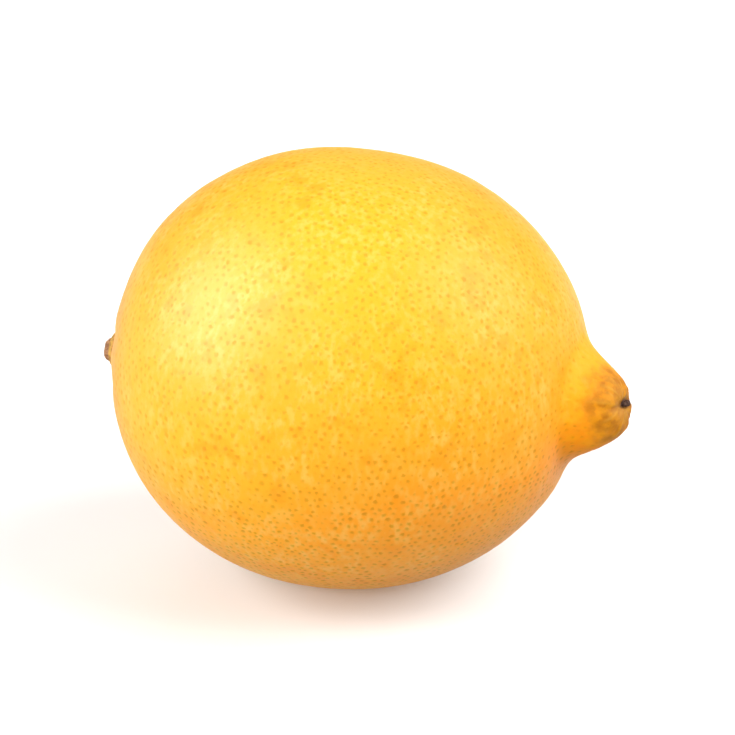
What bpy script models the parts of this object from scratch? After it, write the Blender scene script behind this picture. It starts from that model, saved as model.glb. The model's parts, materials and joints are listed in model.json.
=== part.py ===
"""A ripe lemon lying on its side, with its calyx and a short stub of stem.

Frame: metres, +Z up, +X from the stem towards the nipple. The origin is the middle of the
small flat spot that the fruit rests on.
"""

import math

import bmesh
import bpy
from mathutils import Matrix, Vector, noise

MM = 0.001

# Body of the fruit, about the widest place along its length.
HALF_HEIGHT = 32.0 * MM
HALF_WIDTH = 31.5 * MM
STEM_LENGTH = 33.0 * MM  # from the widest place to the stem end
TIP_LENGTH = 35.7 * MM  # from the widest place to where the body would end under the nipple
ROUNDNESS = 2.1  # 2 is an ellipsoid, and more is fuller

# The spot it rests on: this much of the belly is pressed flat.
REST_FLAT = 0.6 * MM
CENTRE_HEIGHT = HALF_HEIGHT - REST_FLAT

# Nipple: a blunt cone that leans to the front and a little upwards.
NIPPLE_TIP = Vector((42.0 * MM, -5.0 * MM, 0.3 * MM))  # from the body's centre
NIPPLE_LEAN = math.radians(20.5)
NIPPLE_RISE = math.radians(7)
NIPPLE_CAP = 3.5 * MM  # half width of the blunt end
NIPPLE_CAP_DEPTH = 0.65 * MM
NIPPLE_FLARE = 0.61  # half width gained for each length further back
NIPPLE_LENGTH = 14.0 * MM
NIPPLE_BLEND = 1.2 * MM  # how far its foot runs out into the body
NIPPLE_CHIN = 0.3 * MM  # how much fuller the blunt end is below
FLANK_SLOPE = 0.85  # turns a distance across the cone into one square to its side

# Furrow round the foot of the nipple, deepest below and in front.
FURROW_DEPTH = 0.7 * MM
FURROW_WIDTH = 1.5 * MM
FURROW_ROLL = math.radians(-150)

# Scar of the style: a cleft across the tip that runs out to the front into a crease.
SCAR_ROLL = math.radians(170)
SCAR_RISE = 0.75 * MM  # above the nipple's axis
CLEFT_DEPTH = 1.3 * MM
CLEFT_LENGTH = 1.9 * MM  # half of it
CLEFT_WIDTH = 0.85 * MM  # half of it
CREASE_DEPTH = 0.5 * MM
CREASE_WIDTH = 0.7 * MM
CREASE_LENGTH = 5.0 * MM

# Dimple and short ribs round the stem.
STEM_DROP = 0.8 * MM  # the stem sits this far under the body's centre
DIMPLE_DEPTH = 1.1 * MM
DIMPLE_RADIUS = 3.6 * MM
STEM_RIBS = 9
RIB_HEIGHT = 0.16 * MM
RIB_RADIUS = 7.5 * MM

# Slow waves all over the skin.
WAVE_HEIGHT = 0.22 * MM
WAVE_LENGTH = 17.0 * MM

# Calyx: a small five-lobed button in the dimple, whose hub carries the stem.
CALYX_LOBES = 5
CALYX_RADIUS = 3.8 * MM
CALYX_LOBE_DEPTH = 0.4 * MM
CALYX_HUB_RADIUS = 2.85 * MM
CALYX_HUB_SHARPNESS = 3
CALYX_EDGE = 0.4 * MM
CALYX_HEIGHT = 2.05 * MM

# Stub of the stem.
STUB_LENGTH = 0.75 * MM
STUB_FOOT_RADIUS = 1.8 * MM
STUB_END_RADIUS = 1.7 * MM
STUB_EDGE = 0.2 * MM
STUB_RIBS = 7
STUB_RIB_HEIGHT = 0.08 * MM

# Dried foot of the style, in the cleft.
REMNANT_LENGTH = 1.3 * MM  # half of it
REMNANT_WIDTH = 0.5 * MM  # half of it
REMNANT_HEIGHT = 0.6 * MM
REMNANT_CRUMPLE = 0.2

GAP = 0.3 * MM  # between pieces that touch
ROUNDING = 0.05 * MM  # what lies this near the resting plane is on it
SEGMENTS = 64
RINGS = 60
CROWDING = 0.75  # how much closer the rings lie at the two ends
HALVINGS = 44
RAY_REACH = 60.0 * MM

CENTRE = Vector((0.0, 0.0, CENTRE_HEIGHT))
STEM_POLE = Vector((-STEM_LENGTH, 0.0, -STEM_DROP))
CORE_AXIS = (NIPPLE_TIP - STEM_POLE).normalized()
CORE_MIDDLE = STEM_POLE.lerp(NIPPLE_TIP, STEM_LENGTH / (STEM_LENGTH + NIPPLE_TIP.x))
NIPPLE_SIDE = Vector((math.sin(NIPPLE_LEAN), math.cos(NIPPLE_LEAN), 0.0))
NIPPLE_AXIS = NIPPLE_SIDE.cross(Vector((0, 0, 1))) * math.cos(NIPPLE_RISE)
NIPPLE_AXIS.z = math.sin(NIPPLE_RISE)
NIPPLE_UP = NIPPLE_AXIS.cross(NIPPLE_SIDE)
SCAR = NIPPLE_TIP + NIPPLE_UP * SCAR_RISE
SCAR_SIDE = NIPPLE_SIDE * math.cos(SCAR_ROLL) + NIPPLE_UP * math.sin(SCAR_ROLL)


def clear_scene():
    """Remove what the startup scene holds."""
    for obj in list(bpy.data.objects):
        bpy.data.objects.remove(obj)


def plain_material(name, colour, roughness):
    """A Principled material of one colour."""
    material = bpy.data.materials.new(name)
    material.use_nodes = True
    shader = material.node_tree.nodes["Principled BSDF"]
    shader.inputs["Base Color"].default_value = (*colour, 1.0)
    shader.inputs["Roughness"].default_value = roughness
    shader.inputs["Metallic"].default_value = 0.0
    return material


def keep(name, collection, material):
    """Name the active object, dress it and move it to the lemon's collection."""
    obj = bpy.context.active_object
    obj.name = name
    obj.data.name = name
    obj.data.materials.append(material)
    obj.data.shade_smooth()
    for old in obj.users_collection:
        old.objects.unlink(obj)
    collection.objects.link(obj)
    return obj


def bump(distance, width):
    """1 in the middle and falling smoothly to 0 over a few widths."""
    return math.exp(-((distance / width) ** 2))


def smooth_union(first, second, reach):
    """The lower of two levels, rounded where they cross."""
    share = min(max(0.5 + 0.5 * (second - first) / reach, 0.0), 1.0)
    return second * (1 - share) + first * share - reach * share * (1 - share)


def around_nipple(point):
    """(distance behind the tip, distance from the nipple's axis, roll about it)."""
    arm = point - NIPPLE_TIP
    side = arm.dot(NIPPLE_SIDE)
    up = arm.dot(NIPPLE_UP)
    return -arm.dot(NIPPLE_AXIS), math.hypot(side, up), math.atan2(up, side)


def body_level(point):
    """Below 0 inside the body, and about the distance from its skin elsewhere."""
    length = TIP_LENGTH if point.x > 0 else STEM_LENGTH
    along = abs(point.x / length) ** ROUNDNESS
    across = math.hypot(point.y / HALF_WIDTH, point.z / HALF_HEIGHT) ** ROUNDNESS
    return ((along + across) ** (1 / ROUNDNESS) - 1) * HALF_HEIGHT


def nipple_level(behind, off_axis, roll):
    """Below 0 inside the blunt cone."""
    if behind <= 0:
        return math.hypot(behind, off_axis)
    if behind > NIPPLE_LENGTH:
        return off_axis + NIPPLE_BLEND
    below = max(-math.sin(roll), 0.0)
    blunt = NIPPLE_CAP + NIPPLE_CHIN * below**2
    cap = blunt * math.sqrt(1 - math.exp(-behind / NIPPLE_CAP_DEPTH))
    return (off_axis - cap - NIPPLE_FLARE * behind) * FLANK_SLOPE


def furrow(body, cone, roll):
    """Depth of the furrow along the line where the nipple meets the body."""
    foot = bump(body, FURROW_WIDTH) * bump(cone, FURROW_WIDTH)
    return FURROW_DEPTH * foot * (1 + math.cos(roll - FURROW_ROLL)) / 2


def style_scar(point, behind):
    """Depth of the cleft at the tip and of the crease that leaves it."""
    towards = (point - SCAR).dot(SCAR_SIDE)
    across = (point - SCAR).dot(NIPPLE_AXIS.cross(SCAR_SIDE))
    cleft = CLEFT_DEPTH * bump(towards, CLEFT_LENGTH) * bump(across, CLEFT_WIDTH)
    crease = 0.0
    if towards > 0:
        run = max(1 - behind / CREASE_LENGTH, 0.0)
        crease = CREASE_DEPTH * run * bump(across, CREASE_WIDTH)
    return max(cleft, crease)


def stem_dimple(point):
    """Depth of the dimple round the stem, less its short ribs."""
    if point.x > 0:
        return 0.0
    arm = point - STEM_POLE
    off_axis = math.hypot(arm.y, arm.z)
    ribs = RIB_HEIGHT * math.cos(STEM_RIBS * math.atan2(arm.z, arm.y))
    shoulder = bump(off_axis - RIB_RADIUS, RIB_RADIUS / 2)
    return DIMPLE_DEPTH * bump(off_axis, DIMPLE_RADIUS) - ribs * shoulder


def skin_level(point):
    """Below 0 inside the fruit, 0 on its skin. The point is from the body's centre."""
    behind, off_axis, roll = around_nipple(point)
    body = body_level(point)
    cone = nipple_level(behind, off_axis, roll)
    level = smooth_union(body, cone, NIPPLE_BLEND)
    level += furrow(body, cone, roll) + stem_dimple(point)
    if behind < CREASE_LENGTH:
        level += style_scar(point, behind)
    return level - WAVE_HEIGHT * noise.noise(point / WAVE_LENGTH)


def skin_distance(start, direction):
    """How far the skin is from a point inside the fruit, found by halving."""
    near, far = 0.0, RAY_REACH
    for _ in range(HALVINGS):
        middle = (near + far) / 2
        if skin_level(start + direction * middle) < 0:
            near = middle
        else:
            far = middle
    return near


def crowded(polar):
    """The polar angle of a ring, with the rings drawn closer to both ends."""
    return polar - CROWDING * math.sin(2 * polar) / 2


def make_fruit(collection, material):
    """The whole fruit in its peel: a sphere whose points are drawn out to the skin."""
    bpy.ops.mesh.primitive_uv_sphere_add(segments=SEGMENTS, ring_count=RINGS, radius=1.0)
    fruit = keep("fruit", collection, material)
    turn = Vector((0, 0, 1)).rotation_difference(CORE_AXIS)
    for vertex in fruit.data.vertices:
        polar = crowded(math.acos(max(-1.0, min(1.0, vertex.co.z))))
        roll = math.atan2(vertex.co.y, vertex.co.x)
        around = Vector((math.cos(roll), math.sin(roll), 0.0)) * math.sin(polar)
        direction = turn @ (around + Vector((0.0, 0.0, math.cos(polar))))
        vertex.co = CENTRE + CORE_MIDDLE + direction * skin_distance(CORE_MIDDLE, direction)
    press_flat(fruit)
    return fruit


def press_flat(fruit):
    """Cut the belly off at the resting plane and close it with one flat face."""
    mesh = bmesh.new()
    mesh.from_mesh(fruit.data)
    everything = [*mesh.verts, *mesh.edges, *mesh.faces]
    down = Vector((0, 0, -1))
    bmesh.ops.bisect_plane(
        mesh,
        geom=everything,
        dist=ROUNDING,
        plane_co=Vector(),
        plane_no=down,
        use_snap_center=True,
        clear_outer=True,
    )
    for vertex in mesh.verts:
        if vertex.co.z < ROUNDING:
            vertex.co.z = 0.0
    rim = [edge for edge in mesh.edges if edge.is_boundary]
    flat = bmesh.ops.edgeloop_fill(mesh, edges=rim)["faces"][0]
    if flat.normal.dot(down) < 0:
        flat.normal_flip()
    mesh.to_mesh(fruit.data)
    mesh.free()


def lie_on_skin(piece, foot, outwards, side):
    """Lay a piece modelled about z = 0 on the skin: its z becomes the height over the skin."""
    across = outwards.cross(side)
    for vertex in piece.data.vertices:
        start = foot + side * vertex.co.x + across * vertex.co.y
        height = skin_distance(start, outwards) + vertex.co.z
        vertex.co = CENTRE + start + outwards * height


def make_calyx(collection, material):
    """A domed button with five blunt lobes, lying in the dimple."""
    bpy.ops.mesh.primitive_uv_sphere_add(segments=40, ring_count=14, radius=1.0)
    calyx = keep("calyx", collection, material)
    for vertex in calyx.data.vertices:
        out = math.hypot(vertex.co.x, vertex.co.y)
        roll = math.atan2(vertex.co.y, vertex.co.x)
        radius = out * (CALYX_RADIUS + CALYX_LOBE_DEPTH * math.cos(CALYX_LOBES * roll))
        hub = bump((radius / CALYX_HUB_RADIUS) ** CALYX_HUB_SHARPNESS, 1)
        thickness = CALYX_EDGE + (CALYX_HEIGHT - CALYX_EDGE) * hub
        height = GAP + thickness * (vertex.co.z + 1) / 2
        vertex.co = Vector((radius * math.cos(roll), radius * math.sin(roll), height))
    lie_on_skin(calyx, CORE_MIDDLE, -CORE_AXIS, Vector((0, 1, 0)))
    return calyx


def make_stem_stub(collection, material):
    """What is left of the stem: a short woody peg with a bevelled cut end."""
    profile = (
        (0.0, STUB_LENGTH),
        (STUB_END_RADIUS - STUB_EDGE, STUB_LENGTH),
        (STUB_END_RADIUS, STUB_LENGTH - STUB_EDGE),
        (STUB_FOOT_RADIUS, STUB_EDGE),
        (STUB_FOOT_RADIUS - STUB_EDGE, 0.0),
        (0.0, 0.0),
    )
    mesh = bpy.data.meshes.new("stem_stub")
    edges = [(i, i + 1) for i in range(len(profile) - 1)]
    mesh.from_pydata([(radius, 0.0, height) for radius, height in profile], edges, [])
    stub = bpy.data.objects.new("stem_stub", mesh)
    bpy.context.scene.collection.objects.link(stub)
    bpy.context.view_layer.objects.active = stub
    screw = stub.modifiers.new("turn", "SCREW")
    screw.axis = "Z"
    screw.steps = screw.render_steps = 42
    screw.use_merge_vertices = True
    screw.merge_threshold = 0.00001
    keep("stem_stub", collection, material)
    graph = bpy.context.evaluated_depsgraph_get()
    stub.data = bpy.data.meshes.new_from_object(stub.evaluated_get(graph))
    stub.modifiers.clear()
    for vertex in stub.data.vertices:
        roll = math.atan2(vertex.co.y, vertex.co.x)
        radius = math.hypot(vertex.co.x, vertex.co.y)
        if radius > STUB_END_RADIUS / 2:
            radius += STUB_RIB_HEIGHT * math.cos(STUB_RIBS * roll)
        vertex.co.x = radius * math.cos(roll)
        vertex.co.y = radius * math.sin(roll)
    floor = skin_distance(CORE_MIDDLE, -CORE_AXIS)
    foot = CENTRE + CORE_MIDDLE - CORE_AXIS * (floor + GAP + CALYX_HEIGHT + GAP)
    turn = Vector((0, 0, 1)).rotation_difference(-CORE_AXIS).to_matrix().to_4x4()
    stub.matrix_world = Matrix.Translation(foot) @ turn
    return stub


def make_style_remnant(collection, material):
    """The dried foot of the flower's style, lying in the cleft at the tip."""
    bpy.ops.mesh.primitive_ico_sphere_add(subdivisions=3, radius=1.0)
    remnant = keep("style_remnant", collection, material)
    for vertex in remnant.data.vertices:
        crumple = 1 + REMNANT_CRUMPLE * noise.noise(vertex.co * 2)
        height = GAP + REMNANT_HEIGHT * (vertex.co.z * crumple + 1) / 2
        vertex.co = Vector((vertex.co.x * REMNANT_LENGTH, vertex.co.y * REMNANT_WIDTH, height))
    lie_on_skin(remnant, SCAR - NIPPLE_AXIS * NIPPLE_LENGTH, NIPPLE_AXIS, SCAR_SIDE)
    return remnant


def main():
    clear_scene()
    lemon = bpy.data.collections.new("lemon")
    bpy.context.scene.collection.children.link(lemon)
    make_fruit(lemon, plain_material("peel", (0.98, 0.60, 0.06), 0.42))
    make_calyx(lemon, plain_material("sepal", (0.42, 0.31, 0.12), 0.75))
    make_stem_stub(lemon, plain_material("stem_wood", (0.30, 0.17, 0.08), 0.85))
    make_style_remnant(lemon, plain_material("dry_style", (0.06, 0.03, 0.015), 0.9))


if __name__ == "__main__":
    main()
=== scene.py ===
"""The looks of a ripe lemon: pored peel, dried calyx, woody stub of stem and the style's remnant.

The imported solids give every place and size. All lengths are in metres.
"""

from __future__ import annotations

import json
import logging
import math
import random
from contextlib import contextmanager
from dataclasses import dataclass, field
from enum import Enum
from typing import Callable, Iterator

import bmesh
import bpy
import numpy as np
from mathutils import Matrix, Vector, noise

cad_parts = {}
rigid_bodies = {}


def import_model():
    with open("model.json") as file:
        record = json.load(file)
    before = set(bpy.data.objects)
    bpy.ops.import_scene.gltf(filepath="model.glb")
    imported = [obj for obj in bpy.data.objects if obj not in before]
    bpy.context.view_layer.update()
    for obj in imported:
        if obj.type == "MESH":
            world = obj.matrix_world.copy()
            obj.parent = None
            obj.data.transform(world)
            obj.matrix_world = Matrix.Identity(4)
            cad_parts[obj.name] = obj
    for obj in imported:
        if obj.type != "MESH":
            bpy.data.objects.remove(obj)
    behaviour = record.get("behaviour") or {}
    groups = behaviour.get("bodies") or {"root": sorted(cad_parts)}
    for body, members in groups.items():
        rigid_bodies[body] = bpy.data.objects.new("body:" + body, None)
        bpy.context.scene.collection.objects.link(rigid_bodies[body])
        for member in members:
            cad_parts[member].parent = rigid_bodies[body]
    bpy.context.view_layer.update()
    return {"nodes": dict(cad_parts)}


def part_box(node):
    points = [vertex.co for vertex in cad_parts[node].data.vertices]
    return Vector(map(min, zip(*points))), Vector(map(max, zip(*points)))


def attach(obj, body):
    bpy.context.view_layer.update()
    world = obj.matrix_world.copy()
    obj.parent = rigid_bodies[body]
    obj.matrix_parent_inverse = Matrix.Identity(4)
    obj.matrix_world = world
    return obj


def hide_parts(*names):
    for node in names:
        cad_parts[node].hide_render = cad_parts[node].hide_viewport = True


MM = 0.001
BODY = "root"
BODY_DROP = 0.3 * MM  # from the middle of the fruit's box down to the middle of its body
UP = Vector((0, 0, 1))
Piece = bpy.types.Object
Colour = tuple[float, float, float]
Band = tuple[float, float]
log = logging.getLogger("lemon")


class Node(Enum):
    """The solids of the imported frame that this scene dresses."""

    FRUIT = "fruit"
    CALYX = "calyx"
    STEM = "stem_stub"
    STYLE = "style_remnant"


class Slot(Enum):
    """The record's material slots."""

    PEEL = "peel"
    SEPAL = "sepal"
    WOOD = "stem_wood"
    STYLE = "dry_style"


# ---------------------------------------------------------------- modelling


def make_active(piece: Piece) -> None:
    """Deselect everything, then select one piece and make it active.

    Args:
        piece: the object to select.
    """
    for other in bpy.context.view_layer.objects:
        other.select_set(False)
    piece.select_set(True)
    bpy.context.view_layer.objects.active = piece


@contextmanager
def editing(piece: Piece, mode: str = "VERT") -> Iterator[bmesh.types.BMesh]:
    """Edit mode on one piece, with nothing in it selected.

    Args:
        piece: the mesh object to edit.
        mode: what is selected: VERT, EDGE or FACE.

    Returns:
        The mesh under edit, for the length of a with block.
    """
    make_active(piece)
    bpy.ops.object.mode_set(mode="EDIT")
    bpy.ops.mesh.select_mode(type=mode)
    bpy.ops.mesh.select_all(action="DESELECT")
    yield bmesh.from_edit_mesh(piece.data)
    bpy.ops.object.mode_set(mode="OBJECT")


def apply_modifier(piece: Piece, kind: str, **settings: object) -> None:
    """Add a modifier, set it and apply it.

    Args:
        piece: the object that it changes.
        kind: the modifier's type.
        settings: its properties.
    """
    modifier = piece.modifiers.new(kind.title(), kind)
    for name, value in settings.items():
        setattr(modifier, name, value)
    make_active(piece)
    bpy.ops.object.modifier_apply(modifier=modifier.name)


def subdivide_smoothly(piece: Piece, levels: int) -> None:
    """Apply a Subdivision Surface."""
    apply_modifier(piece, "SUBSURF", levels=levels, render_levels=levels)


def smooth_copy(node: Piece) -> Piece:
    """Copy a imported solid, merge its loose triangles and smooth it.

    Args:
        node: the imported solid, which is left alone.

    Returns:
        The smooth copy.
    """
    piece = node.copy()
    piece.data = node.data.copy()
    bpy.context.scene.collection.objects.link(piece)
    with editing(piece):
        bpy.ops.mesh.select_all(action="SELECT")
        bpy.ops.mesh.remove_doubles(threshold=0.005 * MM)
        bpy.ops.mesh.tris_convert_to_quads()
    subdivide_smoothly(piece, 2)
    return piece


def roughen(piece: Piece, size: float, height: float) -> None:
    """Raise and sink the surface by a cloudy noise.

    Args:
        piece: the mesh object to displace.
        size: how wide the bumps are.
        height: how far apart the highest and lowest places are.
    """
    clouds = bpy.data.textures.new(f"{piece.name}_clouds", "CLOUDS")
    clouds.noise_scale = size
    apply_modifier(piece, "DISPLACE", texture=clouds, strength=height, mid_level=0.5)


def settle(piece: Piece, name: str) -> Piece:
    """Name a finished piece, put its place into its mesh and shade it smooth.

    Args:
        piece: the object that is finished.
        name: its name from now on.

    Returns:
        The same piece.
    """
    make_active(piece)
    bpy.ops.object.transform_apply(location=True, rotation=True, scale=True)
    bpy.ops.object.shade_smooth()
    piece.name = name
    piece.data.name = name
    return piece


def fade(distance: float, reach: float) -> float:
    """1 in the middle, falling smoothly to 0 over a few times the reach."""
    return math.exp(-((distance / reach) ** 2))


@dataclass(frozen=True)
class Place:
    """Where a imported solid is, and its own three axes, the longest first."""

    middle: Vector
    long: Vector
    wide: Vector
    thin: Vector

    @classmethod
    def of(cls, node: Piece, outwards: Vector) -> Place:
        """Measure a solid.

        Args:
            node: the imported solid.
            outwards: the way that its thin axis points, roughly.

        Returns:
            The solid's place.
        """
        points = np.array([vertex.co for vertex in node.data.vertices])
        middle = points.mean(axis=0)
        axes = np.linalg.eigh(np.cov((points - middle).T))[1]
        thin, long = Vector(axes[:, 0]), Vector(axes[:, 2])
        if thin.dot(outwards) < 0:
            thin.negate()
        if long.y > 0:
            long.negate()
        return cls(Vector(middle), long, thin.cross(long), thin)

    def local(self, point: Vector) -> Vector:
        """A point as (along the long axis, along the wide axis, along the thin axis)."""
        arm = point - self.middle
        return Vector((arm.dot(self.long), arm.dot(self.wide), arm.dot(self.thin)))

    def matrix(self, height: float = 0.0) -> Matrix:
        """The place as a matrix, moved out along the thin axis by a height."""
        turn = Matrix((self.long, self.wide, self.thin)).transposed().to_4x4()
        return Matrix.Translation(self.middle + self.thin * height) @ turn


# ---------------------------------------------------------------- materials


@dataclass(frozen=True)
class Value:
    """A number that varies over a surface, and the recipe that it belongs to."""

    recipe: Recipe
    socket: bpy.types.NodeSocket

    def __add__(self, other: Value | float) -> Value:
        """The sum of two values."""
        return self.recipe.maths("ADD", self, other)

    def __sub__(self, other: Value | float) -> Value:
        """This value less another."""
        return self.recipe.maths("SUBTRACT", self, other)

    def __mul__(self, other: Value | float) -> Value:
        """The product of two values."""
        return self.recipe.maths("MULTIPLY", self, other)

    def __rsub__(self, other: float) -> Value:
        """A number less this value."""
        return self.recipe.maths("SUBTRACT", other, self)

    __radd__ = __add__
    __rmul__ = __mul__


class Recipe:
    """A procedural material, put together from expressions."""

    def __init__(self, name: str, roughness: float, specular: float = 0.5) -> None:
        """Start a material with a Principled shader.

        Args:
            name: the material's name.
            roughness: how dull it is, before anything varies it.
            specular: how strongly it mirrors.
        """
        self.material = bpy.data.materials.new(name)
        self.material.use_nodes = True
        self.tree = self.material.node_tree
        self.shader = self.tree.nodes["Principled BSDF"]
        self.shader.inputs["Roughness"].default_value = roughness
        self.shader.inputs["Specular IOR Level"].default_value = specular
        self.place = self.node("ShaderNodeTexCoord").outputs["Object"]

    def node(
        self, kind: str, settings: dict[str, object] | None = None, **inputs: object
    ) -> bpy.types.Node:
        """Add a node.

        Args:
            kind: the node's type.
            settings: its properties, set before its sockets.
            inputs: numbers, vectors, values or sockets, by socket name or by A0, A1 and so on.

        Returns:
            The new node.
        """
        node = self.tree.nodes.new(kind)
        for name, value in (settings or {}).items():
            setattr(node, name, value)
        for name, value in inputs.items():
            index = int(name[1:]) if name[0] == "A" and name[1:].isdigit() else None
            socket = node.inputs[name.replace("_", " ") if index is None else index]
            if isinstance(value, Value):
                value = value.socket
            if isinstance(value, bpy.types.NodeSocket):
                self.tree.links.new(value, socket)
            else:
                socket.default_value = value
        return node

    def maths(self, operation: str, *terms: Value | float) -> Value:
        """A Math node on values and numbers.

        Args:
            operation: what the node does.
            terms: what it does it to.

        Returns:
            The result.
        """
        inputs = {f"A{i}": term for i, term in enumerate(terms)}
        node = self.node("ShaderNodeMath", {"operation": operation}, **inputs)
        return Value(self, node.outputs[0])

    def noise(
        self, size: float, detail: float = 2.0, stretch: Colour = (1, 1, 1), shift: float = 0.0
    ) -> Value:
        """A cloudy noise about 0.5.

        Args:
            size: how wide its clouds are.
            detail: how many finer layers it has.
            stretch: how much tighter it is along each axis.
            shift: moves it, so that two noises differ.

        Returns:
            The noise.
        """
        where = self.node(
            "ShaderNodeMapping", Vector=self.place, Scale=stretch, Location=(shift,) * 3
        )
        node = self.node(
            "ShaderNodeTexNoise", Vector=where.outputs[0], Scale=1 / size, Detail=detail
        )
        return Value(self, node.outputs["Factor" if "Factor" in node.outputs else "Fac"])

    def between(self, value: Value, low: float, high: float) -> Value:
        """A value taken smoothly from 0 to 1.

        Args:
            value: what is read.
            low: where the result is 0.
            high: where the result is 1.

        Returns:
            The result.
        """
        node = self.node(
            "ShaderNodeMapRange",
            {"interpolation_type": "SMOOTHSTEP"},
            A0=value,
            A1=low,
            A2=high,
        )
        return Value(self, node.outputs["Result"])

    def attribute(self, name: str) -> Value:
        """A number kept on the mesh."""
        node = self.node("ShaderNodeAttribute", {"attribute_name": name})
        return Value(self, node.outputs["Factor" if "Factor" in node.outputs else "Fac"])

    def distance(self, point: Vector) -> Value:
        """How far the surface is from a point.

        Args:
            point: the point.

        Returns:
            The distance.
        """
        node = self.node(
            "ShaderNodeVectorMath", {"operation": "DISTANCE"}, A0=self.place, A1=point
        )
        return Value(self, node.outputs["Value"])

    def along(self, direction: Vector, start: Vector) -> Value:
        """How far the surface lies from a point along a direction.

        Args:
            direction: the way to measure.
            start: the point to measure from.

        Returns:
            The distance, which is below 0 behind the point.
        """
        node = self.node(
            "ShaderNodeVectorMath", {"operation": "DOT_PRODUCT"}, A0=self.place, A1=direction
        )
        return Value(self, node.outputs["Value"]) - direction.dot(start)

    def mix(
        self, share: Value | float, first: object, second: object, blend: str = "MIX"
    ) -> bpy.types.NodeSocket:
        """A colour between two others.

        Args:
            share: 0 for the first colour, and 1 for the second.
            first: a colour or a socket.
            second: a colour or a socket.
            blend: how the second colour is laid on the first.

        Returns:
            The mixed colour.
        """
        settings = {"data_type": "RGBA", "blend_type": blend}
        colours = [c if isinstance(c, bpy.types.NodeSocket) else (*c, 1.0) for c in (first, second)]
        node = self.node("ShaderNodeMix", settings, A0=share, A6=colours[0], A7=colours[1])
        return node.outputs[2]

    def finish(
        self,
        colour: bpy.types.NodeSocket,
        roughness: Value | None = None,
        relief: Value | None = None,
        relief_height: float = 0.0,
    ) -> bpy.types.Material:
        """Join the colour, roughness and fine relief to the shader.

        Args:
            colour: the surface's colour.
            roughness: how dull it is, if that varies.
            relief: the height of the fine relief, from 0 to 1.
            relief_height: what 1 stands for.

        Returns:
            The finished material.
        """
        self.tree.links.new(colour, self.shader.inputs["Base Color"])
        if roughness is not None:
            self.tree.links.new(roughness.socket, self.shader.inputs["Roughness"])
        if relief is not None:
            bump = self.node("ShaderNodeBump", Height=relief, Distance=relief_height)
            self.tree.links.new(bump.outputs[0], self.shader.inputs["Normal"])
        return self.material


# ---------------------------------------------------------------- the fruit


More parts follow.
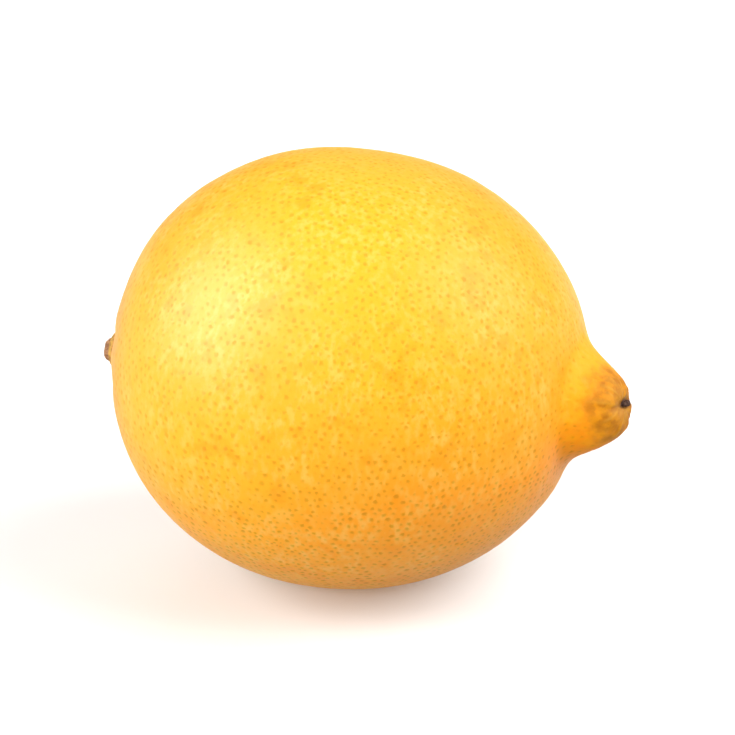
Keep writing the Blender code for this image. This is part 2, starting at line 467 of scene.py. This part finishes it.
@dataclass(frozen=True)
class PeelFinish:
    """The peel's colours and how they lie.

    The peel is golden. Towards its lower front it is more orange and darker in green, less so near
    the very bottom, which is partly its own tint and partly painted shade. Orange painted shade lies
    round the stem, where the limb darkens, and along the lower side of the nipple's foot, in its
    furrow. A pale haze lies over it in streaks, over an even pale veil that is painted sheen, and
    the tip of the nipple is amber, partly its own tint and partly painted shade.

    Each band holds the two readings between which a mask rises from 0 to 1, and each share says
    how much of a colour its mask lays on.
    """

    golden: Colour = (0.97, 0.405, 0.003)
    orange: Colour = (0.955, 0.315, 0.002)
    # The cream is partly the peel's own pale mottling and partly painted sheen, laid as an even
    # veil.
    cream: Colour = (0.98, 0.55, 0.11)
    gland_tint: Colour = (0.66, 0.70, 0.20)
    # The amber is partly the tip's own tint and partly painted shade that darkens the tip.
    amber: Colour = (0.45, 0.15, 0.001)
    tan: Colour = (0.56, 0.26, 0.035)
    straw: Colour = (0.62, 0.33, 0.035)
    # The scar's dark brown also serves as painted shade in the cleft and along the crease.
    scar: Colour = (0.060, 0.020, 0.009)
    # More orange and darker in green towards the lower front, less so near the very bottom: partly
    # the peel's own tint, partly painted shade.
    ripe_way: Vector = Vector((0.60, -0.50, -0.62))
    ripe_band: Band = (5 * MM, 29 * MM)
    ripe_share: float = 0.82
    belly_band: Band = (11 * MM, 25 * MM)
    belly_share: float = 0.45
    drift_size: float = 24 * MM
    drift_band: Band = (0.36, 0.64)
    drift_share: float = 0.18
    streak_size: float = 1.5 * MM
    streak_stretch: Colour = (1.5, 1.5, 0.75)
    streak_band: Band = (0.40, 0.72)
    streak_share: float = 0.17
    haze_size: float = 9 * MM
    haze_band: Band = (0.35, 0.65)
    haze_share: float = 0.33
    # An even pale veil over the whole peel: painted sheen.
    least_haze: float = 0.09
    blotch_size: float = 3.4 * MM
    blotch_band: Band = (0.54, 0.70)
    blotch_share: float = 0.60
    # Orange round the stem: painted shade where the limb darkens.
    blush_band: Band = (13 * MM, 22 * MM)
    blush_share: float = 0.85
    # Orange along the lower side of the nipple's foot: painted shade in its furrow.
    foot_start: Band = (5 * MM, 8 * MM)
    foot_end: Band = (12 * MM, 18 * MM)
    below_band: Band = (-5 * MM, 2 * MM)
    foot_share: float = 0.9
    nipple_band: Band = (8 * MM, 15 * MM)
    tip_band: Band = (3.2 * MM, 8.0 * MM)
    tip_tatter: float = 6 * MM
    tatter_size: float = 2.4 * MM
    mottle_size: float = 1.5 * MM
    mottle_band: Band = (0.44, 0.64)
    mottle_share: float = 0.34
    rim_band: Band = (1.2 * MM, 3.4 * MM)
    rim_size: float = 1.1 * MM
    straw_share: float = 0.75
    pore_band: Band = (0.14, 0.74)
    pore_share: float = 0.80
    grain_size: float = 0.55 * MM
    grain_height: float = 0.03 * MM
    roughness: float = 0.46
    dull_size: float = 6 * MM
    dull_range: float = 0.12
    pore_dullness: float = 0.1
    nipple_dullness: float = 0.22
    specular: float = 0.29
    glow: float = 0.10
    glow_radius: Colour = (1.0, 0.45, 0.12)
    glow_scale: float = 1.0 * MM

    def material(self, scar: Place, stem: Place) -> bpy.types.Material:
        """Mix the peel.

        Args:
            scar: the place of the style's scar, at the tip of the nipple.
            stem: the place of the stem's stub.

        Returns:
            The finished material.
        """
        recipe = Recipe("peel", self.roughness, self.specular)
        shader = recipe.shader.inputs
        shader["Subsurface Weight"].default_value = self.glow
        shader["Subsurface Radius"].default_value = self.glow_radius
        shader["Subsurface Scale"].default_value = self.glow_scale

        far = recipe.distance(scar.middle)
        on_nipple = 1 - recipe.between(far, *self.nipple_band)
        ragged = far + (recipe.noise(self.tatter_size, 3.0, shift=5.2) - 0.5) * self.tip_tatter
        tip = 1 - recipe.between(ragged, *self.tip_band)
        colour = self.body_colour(recipe, (scar.middle + stem.middle) / 2, on_nipple)
        colour = self.flush(recipe, colour, far, scar.middle, stem.middle)
        colour = self.tip_colour(recipe, colour, far, on_nipple, tip)

        pore = recipe.between(recipe.attribute("pore"), *self.pore_band)
        colour = recipe.mix(
            pore * (1 - tip * 0.5) * self.pore_share, colour, self.gland_tint, "MULTIPLY"
        )
        # The scar's brown, and painted shade in the cleft and along the crease.
        colour = recipe.mix(recipe.attribute("scar"), colour, self.scar)

        grain = recipe.noise(self.grain_size, 3.0, shift=2.3)
        patches = recipe.noise(self.dull_size, 2.0, shift=0.9) * self.dull_range
        dull = patches + (self.roughness - self.dull_range / 2)
        dull = dull + pore * self.pore_dullness + on_nipple * self.nipple_dullness
        return recipe.finish(colour, dull, grain, self.grain_height)

    def body_colour(
        self, recipe: Recipe, middle: Vector, on_nipple: Value
    ) -> bpy.types.NodeSocket:
        """The body's gold, its orange towards the lower front that is partly painted shade, its pale
        haze over a veil of painted sheen, and its blotches.

        Args:
            recipe: the material in the making.
            middle: the middle of the fruit's core.
            on_nipple: 1 on the nipple, where the haze is thinner.

        Returns:
            The colour.
        """
        # Orange towards the lower front, weakened near the bottom: partly the peel's tint and partly
        # painted shade.
        ripe = recipe.between(recipe.along(self.ripe_way, middle), *self.ripe_band)
        drift = recipe.between(recipe.noise(self.drift_size, 2.0), *self.drift_band)
        belly = 1 - recipe.between(recipe.along(UP, Vector()), *self.belly_band)
        ripe = ripe * (1 - belly * self.belly_share)
        share = ripe * self.ripe_share + drift * self.drift_share
        colour = recipe.mix(share, self.golden, self.orange)

        streaks = recipe.noise(self.streak_size, 3.0, self.streak_stretch, shift=0.7)
        haze = recipe.between(recipe.noise(self.haze_size, 2.0, shift=3.1), *self.haze_band)
        pale = recipe.between(streaks, *self.streak_band)
        # The pale streaks and patches are the peel's own mottling; the even veil added everywhere is
        # painted sheen.
        pale = pale * (haze * self.haze_share + self.streak_share) + self.least_haze
        colour = recipe.mix(pale * (1 - on_nipple * 0.5), colour, self.cream)
        blotch = recipe.noise(self.blotch_size, 3.0, shift=0.3)
        blotch = recipe.between(blotch, *self.blotch_band)
        return recipe.mix(blotch * self.blotch_share, colour, self.orange)

    def flush(
        self, recipe: Recipe, colour: bpy.types.NodeSocket, far: Value, tip: Vector, stem: Vector
    ) -> bpy.types.NodeSocket:
        """Lay orange painted shade round the stem, where the limb darkens, and along the lower side
        of the nipple's foot, in its furrow.

        Args:
            recipe: the material in the making.
            colour: the colour below.
            far: the distance from the nipple's tip.
            tip: the nipple's tip.
            stem: the middle of the stem's stub.

        Returns:
            The colour.
        """
        # Painted shade: orange where the limb darkens round the stem.
        limb_shade = 1 - recipe.between(recipe.distance(stem), *self.blush_band)
        colour = recipe.mix(limb_shade * self.blush_share, colour, self.orange)
        # Painted shade in the furrow along the lower side of the nipple's foot.
        start = recipe.between(far, *self.foot_start)
        foot = start * (1 - recipe.between(far, *self.foot_end))
        below = 1 - recipe.between(recipe.along(UP, tip), *self.below_band)
        return recipe.mix(foot * below * self.foot_share, colour, self.orange)

    def tip_colour(
        self,
        recipe: Recipe,
        colour: bpy.types.NodeSocket,
        far: Value,
        on_nipple: Value,
        tip: Value,
    ) -> bpy.types.NodeSocket:
        """Colour the nipple: amber at its tip, partly its own tint and partly painted shade, mottled
        with gold, with a tan rim and wrinkles.

        Args:
            recipe: the material in the making.
            colour: the colour below.
            far: the distance from the nipple's tip.
            on_nipple: 1 on the nipple.
            tip: 1 at its tip, with a ragged edge.

        Returns:
            The colour.
        """
        # Amber at the tip: partly its own tint, partly painted shade.
        colour = recipe.mix(tip, colour, self.amber)
        mottle = recipe.noise(self.mottle_size, 3.0, shift=6.1)
        mottle = recipe.between(mottle, *self.mottle_band)
        colour = recipe.mix(mottle * on_nipple * self.mottle_share, colour, self.golden)
        rim = 1 - recipe.between(far, *self.rim_band)
        colour = recipe.mix(rim * recipe.noise(self.rim_size, 2.0), colour, self.tan)
        return recipe.mix(recipe.attribute("wrinkle") * self.straw_share, colour, self.straw)


@dataclass
class Peel:
    """The whole peel, with its oil glands sunk in it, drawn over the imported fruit.

    Places round the nipple are measured from the scar at its tip: a distance off it, and, in the
    tip's own plane, along the cleft and across it.
    """

    core_radius: float = 10 * MM
    net_levels: int = 6
    evening_rounds: int = 4
    evening_passes: int = 8
    scatter: float = 0.46 * MM
    pore_strength: Band = (0.35, 1.0)
    pore_depth: float = 0.10 * MM
    pore_loss: float = 0.65
    bump_size: float = 3.2 * MM
    bump_height: float = 0.10 * MM

    foot_reach: float = 30 * MM
    furrow: Vector = Vector((-8.7, -5.6, -1.5)) * MM
    furrow_reach: float = 6.5 * MM
    furrow_flattening: float = 0.45
    easing: int = 110
    corner: Vector = Vector((-9.6, 6.8, -14.0)) * MM
    corner_reach: float = 5.5 * MM
    corner_fill: float = 0.42 * MM
    corner_dip: float = 0.6
    corner_dip_reach: float = 1.3 * MM

    nipple_reach: float = 9.0 * MM
    fold_height: float = 0.26 * MM
    fold_off: float = 2.6 * MM
    fold_reach: float = 1.9 * MM
    fold_run: float = 6 * MM
    fold_closeness: float = 3
    wrinkle_height: float = 0.07 * MM
    wrinkle_reach: float = 2.2 * MM
    wrinkle_run: float = 3 * MM
    wrinkle_closeness: float = 8
    rim_height: float = 0.30 * MM
    rim_off: float = 3.0 * MM
    rim_reach: float = 1.9 * MM
    rim_evenness: float = 0.65
    rim_across: float = 0.50
    rim_along: float = 0.45
    cleft_depth: float = 0.60 * MM
    cleft_shift: float = -1.50 * MM
    cleft_length: float = 2.0 * MM
    cleft_width: float = 0.70 * MM
    crease_depth: float = 0.30 * MM
    crease_length: float = 4.2 * MM
    crease_width: float = 0.42 * MM
    lip_height: float = 0.12 * MM
    lip_off: float = 1.3 * MM
    lip_width: float = 0.7 * MM
    # How dark the cleft is: the scar's brown and painted shade in the hole; how dark the crease is:
    # painted shade.
    cleft_darkness: float = 1.35
    crease_darkness: float = 0.22
    finish: PeelFinish = field(default_factory=PeelFinish)

    def build(self, node: Piece, scar: Place, stem: Place) -> Piece:
        """Model and dress the peel.

        Args:
            node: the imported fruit.
            scar: the place of the style's scar.
            stem: the place of the stem's stub.

        Returns:
            The peel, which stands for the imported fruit.
        """
        skin = smooth_copy(node)
        self.shape_foot(skin, scar)
        peel = self.even_net(skin)
        self.open_pores(peel, skin)
        self.refine_nipple(peel, skin, scar)
        self.sink_pores(peel, scar)
        roughen(peel, self.bump_size, self.bump_height)
        self.gather_tip(peel, scar)
        bpy.data.objects.remove(skin)
        peel.data.materials.clear()
        peel.data.materials.append(self.finish.material(scar, stem))
        return settle(peel, "peel")

    def shape_foot(self, skin: Piece, scar: Place) -> None:
        """Ease the furrow on the near side of the nipple's foot, and fill out its lower corner.

        Args:
            skin: the smooth copy of the fruit.
            scar: the place of the scar, from which the furrow and the corner are placed.
        """
        group = skin.vertex_groups.new(name="furrow")
        furrow, corner = scar.middle + self.furrow, scar.middle + self.corner
        # All normals are read before any point moves, because each move makes them stale.
        near = [v for v in skin.data.vertices if (v.co - scar.middle).length < self.foot_reach]
        normals = [vertex.normal.copy() for vertex in near]
        for vertex, normal in zip(near, normals):
            arm = vertex.co - furrow
            arm.z *= self.furrow_flattening
            group.add([vertex.index], fade(arm.length, self.furrow_reach), "REPLACE")
            off = (vertex.co - corner).length
            dip = self.corner_dip * fade(off, self.corner_dip_reach)
            vertex.co += normal * self.corner_fill * (fade(off, self.corner_reach) - dip)
        apply_modifier(skin, "SMOOTH", factor=0.5, iterations=self.easing, vertex_group="furrow")

    def even_net(self, skin: Piece) -> Piece:
        """Spread a net of points evenly over the skin, one for each oil gland.

        Args:
            skin: the smooth copy of the fruit.

        Returns:
            The net, which becomes the peel.
        """
        low, high = (Vector(corner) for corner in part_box(Node.FRUIT.value))
        bpy.ops.mesh.primitive_ico_sphere_add(
            subdivisions=self.net_levels, radius=self.core_radius, location=(low + high) / 2
        )
        peel = bpy.context.active_object
        bpy.ops.object.transform_apply(location=True)
        apply_modifier(peel, "SHRINKWRAP", target=skin, wrap_method="PROJECT")
        for _ in range(self.evening_rounds):
            apply_modifier(peel, "SMOOTH", factor=0.5, iterations=self.evening_passes)
            self.draw_on(peel, skin)
        with editing(peel):
            bpy.ops.mesh.select_all(action="SELECT")
            bpy.ops.transform.vertex_random(offset=self.scatter, uniform=0.6, seed=7)
        self.draw_on(peel, skin)
        return peel

    def draw_on(self, peel: Piece, skin: Piece) -> None:
        """Draw every point of the peel to the nearest place on the skin."""
        apply_modifier(peel, "SHRINKWRAP", target=skin, wrap_method="NEAREST_SURFACEPOINT")

    def open_pores(self, peel: Piece, skin: Piece) -> None:
        """Halve every side of the net, and make each of its first points an oil gland.

        Args:
            peel: the net.
            skin: the smooth copy of the fruit, which the new points are drawn to.
        """
        draw = random.Random(11)
        glands = len(peel.data.vertices)
        with editing(peel):
            bpy.ops.mesh.select_all(action="SELECT")
            bpy.ops.mesh.subdivide(number_cuts=1)
        self.draw_on(peel, skin)
        strength = peel.data.attributes.new("pore", "FLOAT", "POINT").data
        for gland in range(glands):
            strength[gland].value = draw.uniform(*self.pore_strength)

    def refine_nipple(self, peel: Piece, skin: Piece, scar: Place) -> None:
        """Cut the peel finer near the tip, where its folds are small.

        Args:
            peel: the peel.
            skin: the smooth copy of the fruit, which the new points are drawn to.
            scar: the place of the scar.
        """
        for reach in (self.nipple_reach, self.nipple_reach / 2):
            with editing(peel, "FACE") as mesh:
                for face in mesh.faces:
                    distance = (face.calc_center_median() - scar.middle).length
                    face.select_set(distance < reach)
                bpy.ops.mesh.quads_convert_to_tris()
                bpy.ops.mesh.subdivide(number_cuts=1)
        self.draw_on(peel, skin)

    def sink_pores(self, peel: Piece, scar: Place) -> None:
        """Sink the middle of each pore, less deeply near the tip.

        Args:
            peel: the peel.
            scar: the place of the scar.
        """
        strength = peel.data.attributes["pore"].data
        normals = [vertex.normal.copy() for vertex in peel.data.vertices]
        for vertex, normal, pore in zip(peel.data.vertices, normals, strength):
            near_tip = fade((vertex.co - scar.middle).length, self.nipple_reach)
            pore.value *= 1 - self.pore_loss * near_tip
            vertex.co -= normal * self.pore_depth * pore.value

    def gather_tip(self, peel: Piece, scar: Place) -> None:
        """Gather the peel in folds round the scar, and mark its wrinkles and how dark it is painted:
        the scar's brown with painted shade in the cleft, and painted shade in the crease.

        Args:
            peel: the peel, whose points are moved.
            scar: the place of the scar. Its long axis points to the front, where a crease leaves it.
        """
        dark = peel.data.attributes.new("scar", "FLOAT", "POINT")
        pale = peel.data.attributes.new("wrinkle", "FLOAT", "POINT")
        near = [v for v in peel.data.vertices if (v.co - scar.middle).length < self.nipple_reach]
        normals = [vertex.normal.copy() for vertex in near]
        for vertex, normal in zip(near, normals):
            along, across, _ = scar.local(vertex.co)
            raised, wrinkle = self.folds(math.hypot(along, across), math.atan2(across, along))
            sunk, scar_and_shade = self.cleft(along, across)
            vertex.co += normal * (raised + sunk)
            # The scar's brown, with painted shade in the cleft and crease.
            dark.data[vertex.index].value = scar_and_shade
            pale.data[vertex.index].value = max(wrinkle, 0.0)

    def folds(self, off: float, roll: float) -> tuple[float, float]:
        """The folds, wrinkles and raised rim round the scar.

        Args:
            off: the distance from the scar, in the tip's plane.
            roll: the angle round the scar, from its long axis.

        Returns:
            How high the peel is raised, and how strong the wrinkle is.
        """
        way = Vector((math.cos(roll), math.sin(roll), 0))
        folds = noise.noise(way * self.fold_closeness + Vector((0, 0, off / self.fold_run)))
        wrinkle = noise.noise(way * self.wrinkle_closeness + Vector((3, 0, off / self.wrinkle_run)))
        wrinkle *= fade(off - self.fold_off, self.wrinkle_reach)
        height = self.fold_height * folds * fade(off - self.fold_off, self.fold_reach)
        rim = self.rim_evenness + self.rim_across * math.sin(roll) + self.rim_along * math.cos(roll)
        height += self.rim_height * rim * fade(off - self.rim_off, self.rim_reach)
        return height + self.wrinkle_height * wrinkle, wrinkle

    def cleft(self, along: float, across: float) -> tuple[float, float]:
        """The cleft across the tip, and the lipped crease that leaves it to the front.

        Args:
            along: the place along the cleft.
            across: the place across it.

        Returns:
            How high the peel is raised, below 0 where it is sunk, and how dark it is painted: the
            scar's brown and painted shade in the cleft, painted shade in the crease.
        """
        hole = fade(along - self.cleft_shift, self.cleft_length) * fade(across, self.cleft_width)
        run = max(1 - along / self.crease_length, 0.0) if along > 0 else 0.0
        crease = run * fade(across, self.crease_width)
        lip = run * fade(abs(across) - self.lip_off, self.lip_width) * self.lip_height
        depth = max(hole * self.cleft_depth, crease * self.crease_depth)
        # The hole is the scar's brown with painted shade; the crease is painted shade.
        scar_and_shade = self.cleft_darkness * hole**1.5 + self.crease_darkness * crease
        return lip - depth, min(scar_and_shade, 1.0)


# ---------------------------------------------------------------- the small pieces


@dataclass(frozen=True)
class DryFinish:
    """A dull, dried plant surface: two colours in clouds, with darker spots."""

    name: str
    light: Colour
    dark: Colour
    size: float
    roughness: float = 0.85
    specular: float = 0.3
    cloud_band: Band = (0.35, 0.65)
    spot_band: Band = (0.58, 0.70)
    spot_share: float = 0.6
    spot_darkness: float = 0.4
    relief: float = 0.12 * MM

    def material(self) -> bpy.types.Material:
        """Mix the finish.

        Returns:
            The finished material.
        """
        recipe = Recipe(self.name, self.roughness, self.specular)
        cloud = recipe.noise(self.size, 4.0)
        colour = recipe.mix(recipe.between(cloud, *self.cloud_band), self.light, self.dark)
        spot = recipe.between(recipe.noise(self.size * 0.4, 2.0, shift=1.3), *self.spot_band)
        deep = tuple(self.spot_darkness * part for part in self.dark)
        colour = recipe.mix(spot * self.spot_share, colour, deep)
        return recipe.finish(colour, None, cloud, self.relief)


@dataclass
class Calyx:
    """The five dried sepals, grown together round the foot of the stem."""

    lobes: int = 5
    veins_per_lobe: int = 3
    vein_height: float = 0.06 * MM
    vein_off: float = 3.0 * MM
    vein_reach: float = 1.2 * MM
    collar_height: float = 0.20 * MM
    collar_radius: float = 2.0 * MM
    collar_reach: float = 0.7 * MM
    bump_size: float = 0.7 * MM
    bump_height: float = 0.16 * MM
    finish: DryFinish = DryFinish("sepal", (0.58, 0.32, 0.055), (0.34, 0.165, 0.025), 0.9 * MM)

    def build(self, node: Piece, stem: Place) -> Piece:
        """Model and dress the calyx.

        Args:
            node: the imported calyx, whose outline the sepals keep.
            stem: the place of the stem's stub.

        Returns:
            The calyx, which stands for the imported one.
        """
        calyx = smooth_copy(node)
        veins = self.lobes * self.veins_per_lobe
        for vertex in calyx.data.vertices:
            along, across, _ = stem.local(vertex.co)
            off = math.hypot(along, across)
            vein = math.cos(veins * math.atan2(across, along))
            vein *= fade(off - self.vein_off, self.vein_reach)
            collar = self.collar_height * fade(off - self.collar_radius, self.collar_reach)
            vertex.co += stem.thin * (self.vein_height * vein + collar)
        roughen(calyx, self.bump_size, self.bump_height)
        calyx.data.materials.clear()
        calyx.data.materials.append(self.finish.material())
        return settle(calyx, "sepals")


@dataclass
class StemStub:
    """What is left of the stem: a short peg of ridged bark with a cut end."""

    segments: int = 56
    rings: int = 8
    end_share: float = 0.84
    foot_share: float = 1.02
    cut_back: float = 0.22 * MM
    root: float = 0.5 * MM
    bark_share: float = 0.12
    wood_share: float = 0.18
    wood_dip: float = 0.08 * MM
    pith_share: float = 0.35
    pith_rise: float = 0.05 * MM
    ridge: float = 0.11
    shoulder: float = 0.10
    shoulder_start: float = 0.7
    tilt: float = 0.05 * MM
    bump_size: float = 0.5 * MM
    bump_height: float = 0.14 * MM
    finish: DryFinish = DryFinish("stem_wood", (0.48, 0.26, 0.12), (0.22, 0.098, 0.040), 0.8 * MM)

    def build(self, stem: Place, radius: float, length: float) -> Piece:
        """Model and dress the stub.

        Args:
            stem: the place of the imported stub.
            radius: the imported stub's radius.
            length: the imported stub's length.

        Returns:
            The stub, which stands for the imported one.
        """
        depth = length - self.cut_back + self.root
        bpy.ops.mesh.primitive_cylinder_add(vertices=self.segments, radius=radius, depth=depth)
        stub = bpy.context.active_object
        with editing(stub, "FACE") as mesh:
            for face in mesh.faces:
                face.select_set(face.normal.z > 0.9)
            bpy.ops.mesh.inset(thickness=radius * self.bark_share)
            bpy.ops.mesh.inset(thickness=radius * self.wood_share, depth=-self.wood_dip)
            bpy.ops.mesh.inset(thickness=radius * self.pith_share, depth=self.pith_rise)
            bpy.ops.mesh.poke()
            bpy.ops.mesh.select_all(action="DESELECT")
        with editing(stub, "EDGE") as mesh:
            for edge in mesh.edges:
                edge.select_set(abs(edge.verts[0].co.z - edge.verts[1].co.z) > depth * 0.9)
            bpy.ops.mesh.subdivide(number_cuts=self.rings)
        subdivide_smoothly(stub, 1)
        for vertex in stub.data.vertices:
            self.shape(vertex, radius, depth)
        stub.matrix_world = stem.matrix(-(self.cut_back + self.root) / 2)
        settle(stub, "stem_end")
        roughen(stub, self.bump_size, self.bump_height)
        stub.data.materials.append(self.finish.material())
        return stub

    def shape(self, vertex: bpy.types.MeshVertex, radius: float, depth: float) -> None:
        """Taper the peg to its cut end, round its shoulder and raise its bark in ridges.

        Args:
            vertex: the point to move.
            radius: the peg's radius before it is shaped.
            depth: the peg's length.
        """
        roll = math.atan2(vertex.co.y, vertex.co.x)
        off = math.hypot(vertex.co.x, vertex.co.y) / radius
        height = vertex.co.z / depth + 0.5
        turn = Vector((math.cos(roll) * 2.4, math.sin(roll) * 2.4, height * 0.8))
        ridge = 1 + self.ridge * noise.noise(turn) * min(off, 1.0) ** 4
        taper = self.foot_share + (self.end_share - self.foot_share) * height**0.7
        past = max(height - self.shoulder_start, 0.0) / (1 - self.shoulder_start)
        shoulder = 1 - self.shoulder * past
        vertex.co.x *= ridge * taper * shoulder
        vertex.co.y *= ridge * taper * shoulder
        vertex.co.z += self.tilt * noise.noise(turn * 0.9 + Vector((5, 0, 0))) * height


@dataclass
class StyleRemnant:
    """The dried foot of the style: a shrivelled brown crumb that lies low in the cleft."""

    sunk: float = 0.46 * MM
    back: float = -0.85 * MM
    length_share: float = 0.86
    width_share: float = 1.15
    tip_share: float = 0.35
    crumple: float = 0.34 * MM
    crumple_size: float = 0.8 * MM
    fine_crumple_size: float = 0.3 * MM
    finish: DryFinish = DryFinish(
        "dry_style", (0.105, 0.056, 0.038), (0.030, 0.011, 0.007), 0.6 * MM
    )

    def build(self, scar: Place, size: Vector) -> Piece:
        """Model and dress the remnant.

        Args:
            scar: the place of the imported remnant.
            size: its extent along its long, wide and thin axes.

        Returns:
            The remnant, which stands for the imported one.
        """
        length, width = size.x * self.length_share, size.y * self.width_share
        bpy.ops.mesh.primitive_ico_sphere_add(subdivisions=5, radius=0.5)
        crumb = bpy.context.active_object
        with editing(crumb):
            bpy.ops.mesh.select_all(action="SELECT")
            bpy.ops.transform.resize(value=(length, width, size.z))
            bpy.ops.transform.vertex_random(offset=0.02 * MM, uniform=0.3, seed=5)
        for vertex in crumb.data.vertices:
            forwards = vertex.co.x / length + 0.5
            vertex.co.y *= 1 + (self.tip_share - 1) * forwards
        crumb.matrix_world = Matrix.Translation(scar.long * self.back) @ scar.matrix(-self.sunk)
        settle(crumb, "style_crumb")
        roughen(crumb, self.crumple_size, self.crumple)
        roughen(crumb, self.fine_crumple_size, self.crumple / 3)
        crumb.data.materials.append(self.finish.material())
        return crumb


# ---------------------------------------------------------------- floor, light and camera


@dataclass(frozen=True)
class Softbox:
    """A square lamp that looks at the fruit.

    It stands turned to the right of the front and raised over the floor by its angles, which are
    in degrees. One that doesn't glint leaves no highlight. One that doesn't fill leaves nothing
    but its highlight.
    """

    name: str
    turn: float
    rise: float
    distance: float
    size: float
    power: float
    glints: bool = True
    fills: bool = True

    def light(self, target: Vector) -> None:
        """Place the lamp.

        Args:
            target: the place that it looks at.
        """
        data = bpy.data.lights.new(self.name, "AREA")
        data.shape = "SQUARE"
        data.size = self.size
        data.energy = self.power
        lamp = bpy.data.objects.new(self.name, data)
        bpy.context.scene.collection.objects.link(lamp)
        lamp.visible_glossy = self.glints
        lamp.visible_diffuse = self.fills
        turn, rise = math.radians(self.turn), math.radians(self.rise)
        level = Vector((math.sin(turn), -math.cos(turn), 0.0)) * math.cos(rise)
        way = level + Vector((0.0, 0.0, math.sin(rise)))
        lamp.location = target + way * self.distance
        lamp.rotation_euler = way.to_track_quat("Z", "Y").to_euler()


@dataclass
class Studio:
    """A pale floor, soft lamps and the camera."""

    azimuth: float = math.radians(12)
    elevation: float = math.radians(27)
    distance: float = 600 * MM
    view_width: float = 106.06 * MM
    aim_right: float = 3.79 * MM
    aim_down: float = 0.05 * MM
    sensor: float = 36.0
    clip_start: float = 10 * MM
    floor_width: float = 6.0
    floor_colour: Colour = (0.96, 0.955, 0.95)
    floor_shade: float = 0.985
    floor_cloud: float = 0.4
    sky: Colour = (1.0, 1.0, 1.0)
    sky_strength: float = 0.25
    softboxes: tuple[Softbox, ...] = (
        Softbox("left", -68, 30, 0.9, 0.6, 6.6),
        Softbox("sheen", -65, 34, 0.9, 0.9, 19.0, fills=False),
        Softbox("front", -6, 15, 1.2, 0.9, 13.6, glints=False),
        Softbox("right", 98, 42, 0.9, 0.8, 10.6),
        Softbox("back", 180, 22, 1.2, 0.9, 5.0, glints=False),
    )

    def build(self, target: Vector) -> None:
        """Set up the studio.

        Args:
            target: the middle of the fruit's body.
        """
        self.lay_floor()
        self.light_sky()
        for softbox in self.softboxes:
            softbox.light(target)
        self.place_camera(target)
        bpy.context.scene.view_settings.view_transform = "Standard"

    def lay_floor(self) -> None:
        """Lay a wide pale sheet under the fruit, which sends no light back to it."""
        bpy.ops.mesh.primitive_plane_add(size=self.floor_width)
        floor = bpy.context.active_object
        floor.name = "floor"
        recipe = Recipe("floor", 0.7, 0.2)
        tint = recipe.between(recipe.noise(self.floor_cloud, 2.0), 0.3, 0.7)
        shade = tuple(part * self.floor_shade for part in self.floor_colour)
        floor.data.materials.append(recipe.finish(recipe.mix(tint, self.floor_colour, shade)))
        floor.visible_diffuse = False

    def light_sky(self) -> None:
        """Light the room evenly and dimly."""
        world = bpy.data.worlds.new("room")
        world.use_nodes = True
        background = world.node_tree.nodes["Background"]
        background.inputs["Color"].default_value = (*self.sky, 1.0)
        background.inputs["Strength"].default_value = self.sky_strength
        bpy.context.scene.world = world

    def place_camera(self, target: Vector) -> None:
        """Stand a camera with a long lens a little to the nipple's side.

        Args:
            target: the middle of the fruit's body.
        """
        turn, rise = self.azimuth, self.elevation
        level = Vector((math.sin(turn), -math.cos(turn), 0.0)) * math.cos(rise)
        back = level + Vector((0.0, 0.0, math.sin(rise)))
        right = Vector((math.cos(turn), math.sin(turn), 0.0))
        up = back.cross(right)
        data = bpy.data.cameras.new("camera")
        data.sensor_width = self.sensor
        data.lens = self.sensor * self.distance / self.view_width
        data.clip_start = self.clip_start
        camera = bpy.data.objects.new("camera", data)
        bpy.context.scene.collection.objects.link(camera)
        aim = target + right * self.aim_right - up * self.aim_down
        camera.location = aim + back * self.distance
        camera.rotation_euler = Matrix((right, up, back)).transposed().to_euler()
        bpy.context.scene.camera = camera


# ---------------------------------------------------------------- the lemon


@dataclass
class Lemon:
    """The whole lemon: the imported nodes, and the pieces that stand for them."""

    nodes: dict[str, Piece]
    peel: Peel = field(default_factory=Peel)
    calyx: Calyx = field(default_factory=Calyx)
    stub: StemStub = field(default_factory=StemStub)
    remnant: StyleRemnant = field(default_factory=StyleRemnant)

    def extent(self, node: Node, place: Place) -> Vector:
        """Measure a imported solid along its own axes.

        Args:
            node: the solid.
            place: its place.

        Returns:
            Its size along its long, wide and thin axes.
        """
        points = [place.local(vertex.co) for vertex in self.nodes[node.value].data.vertices]
        return Vector(
            max(point[axis] for point in points) - min(point[axis] for point in points)
            for axis in range(3)
        )

    def build(self) -> None:
        """Model every piece and join it to the frame."""
        forward = Vector((1, 0, 0))
        scar = Place.of(self.nodes[Node.STYLE.value], forward)
        stem = Place.of(self.nodes[Node.STEM.value], -forward)
        stub_size = self.extent(Node.STEM, stem)
        remnant_size = self.extent(Node.STYLE, scar)
        fruit, calyx = self.nodes[Node.FRUIT.value], self.nodes[Node.CALYX.value]
        self.join(lambda: self.peel.build(fruit, scar, stem), Node.FRUIT)
        self.join(lambda: self.calyx.build(calyx, stem), Node.CALYX)
        self.join(
            lambda: self.stub.build(stem, stub_size.x / 2, stub_size.z), Node.STEM
        )
        self.join(lambda: self.remnant.build(scar, remnant_size), Node.STYLE)

    def join(self, make: Callable[[], Piece], node: Node) -> None:
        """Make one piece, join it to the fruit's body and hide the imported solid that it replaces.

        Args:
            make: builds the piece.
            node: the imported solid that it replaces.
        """
        piece = make()
        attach(piece, BODY)
        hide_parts(node.value)
        log.info("%s: %d faces", piece.name, len(piece.data.polygons))


def main() -> None:
    """Build the lemon, then the studio round it."""
    logging.basicConfig(level=logging.INFO, format="%(message)s")
    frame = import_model()
    Lemon(frame["nodes"]).build()
    low, high = (Vector(corner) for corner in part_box(Node.FRUIT.value))
    Studio().build(Vector((0.0, 0.0, (low.z + high.z) / 2 - BODY_DROP)))


if __name__ == "__main__":
    main()
